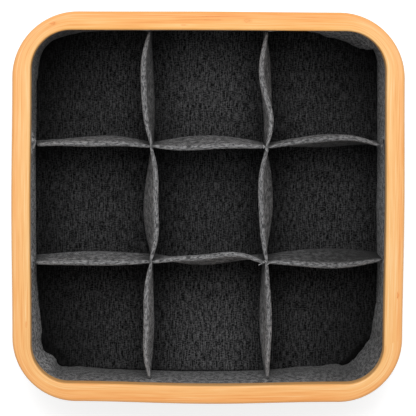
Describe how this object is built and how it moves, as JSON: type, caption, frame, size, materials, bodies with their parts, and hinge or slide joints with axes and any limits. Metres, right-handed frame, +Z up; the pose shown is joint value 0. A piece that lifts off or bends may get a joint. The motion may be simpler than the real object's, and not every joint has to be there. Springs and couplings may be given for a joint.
{
  "type": "drawer organizer",
  "caption": "Square drawer organizer: a soft cloth box with open cells between folded cloth dividers, hung in a bent bamboo rim with rounded corners.",
  "frame": {"origin": "middle of the underside, on the surface that the organizer stands on", "axes": "+Z up, out of the open cells; +X the right side and +Y the back side as the organizer lies in a drawer"},
  "size_m": [0.32, 0.32, 0.1],
  "materials": {
    "bamboo": "bent laminated bamboo, sanded, clear satin finish",
    "heather_cloth": "grey heather linen-look polyester, plain weave",
    "divider_cloth": "grey heather linen-look polyester, folded double",
    "dark_linen_cloth": "near-black slubbed linen-look cloth, stretched over the base board",
    "grey_board": "pressed grey board, uncoated",
    "staple_steel": "galvanised wire"
  },
  "bodies": {
    "root": {"rim_outer_ply": "bamboo", "rim_middle_ply": "bamboo", "rim_inner_ply": "bamboo", "outer_wall_cloth": "heather_cloth", "wall_lining_cloth": "heather_cloth", "wall_board_right": "grey_board", "wall_board_back": "grey_board", "wall_board_left": "grey_board", "wall_board_front": "grey_board", "bottom_cloth": "heather_cloth", "base_board": "grey_board", "floor_cloth": "dark_linen_cloth", "column_divider_left": "divider_cloth", "column_divider_right": "divider_cloth", "row_divider_front_left": "divider_cloth", "row_divider_front_middle": "divider_cloth", "row_divider_front_right": "divider_cloth", "row_divider_back_left": "divider_cloth", "row_divider_back_middle": "divider_cloth", "row_divider_back_right": "divider_cloth", "rim_staple_right_1": "staple_steel", "rim_staple_right_2": "staple_steel", "rim_staple_right_3": "staple_steel", "rim_staple_back_1": "staple_steel", "rim_staple_back_2": "staple_steel", "rim_staple_back_3": "staple_steel", "rim_staple_left_1": "staple_steel", "rim_staple_left_2": "staple_steel", "rim_staple_left_3": "staple_steel", "rim_staple_front_1": "staple_steel", "rim_staple_front_2": "staple_steel", "rim_staple_front_3": "staple_steel"}
  },
  "joints": []
}
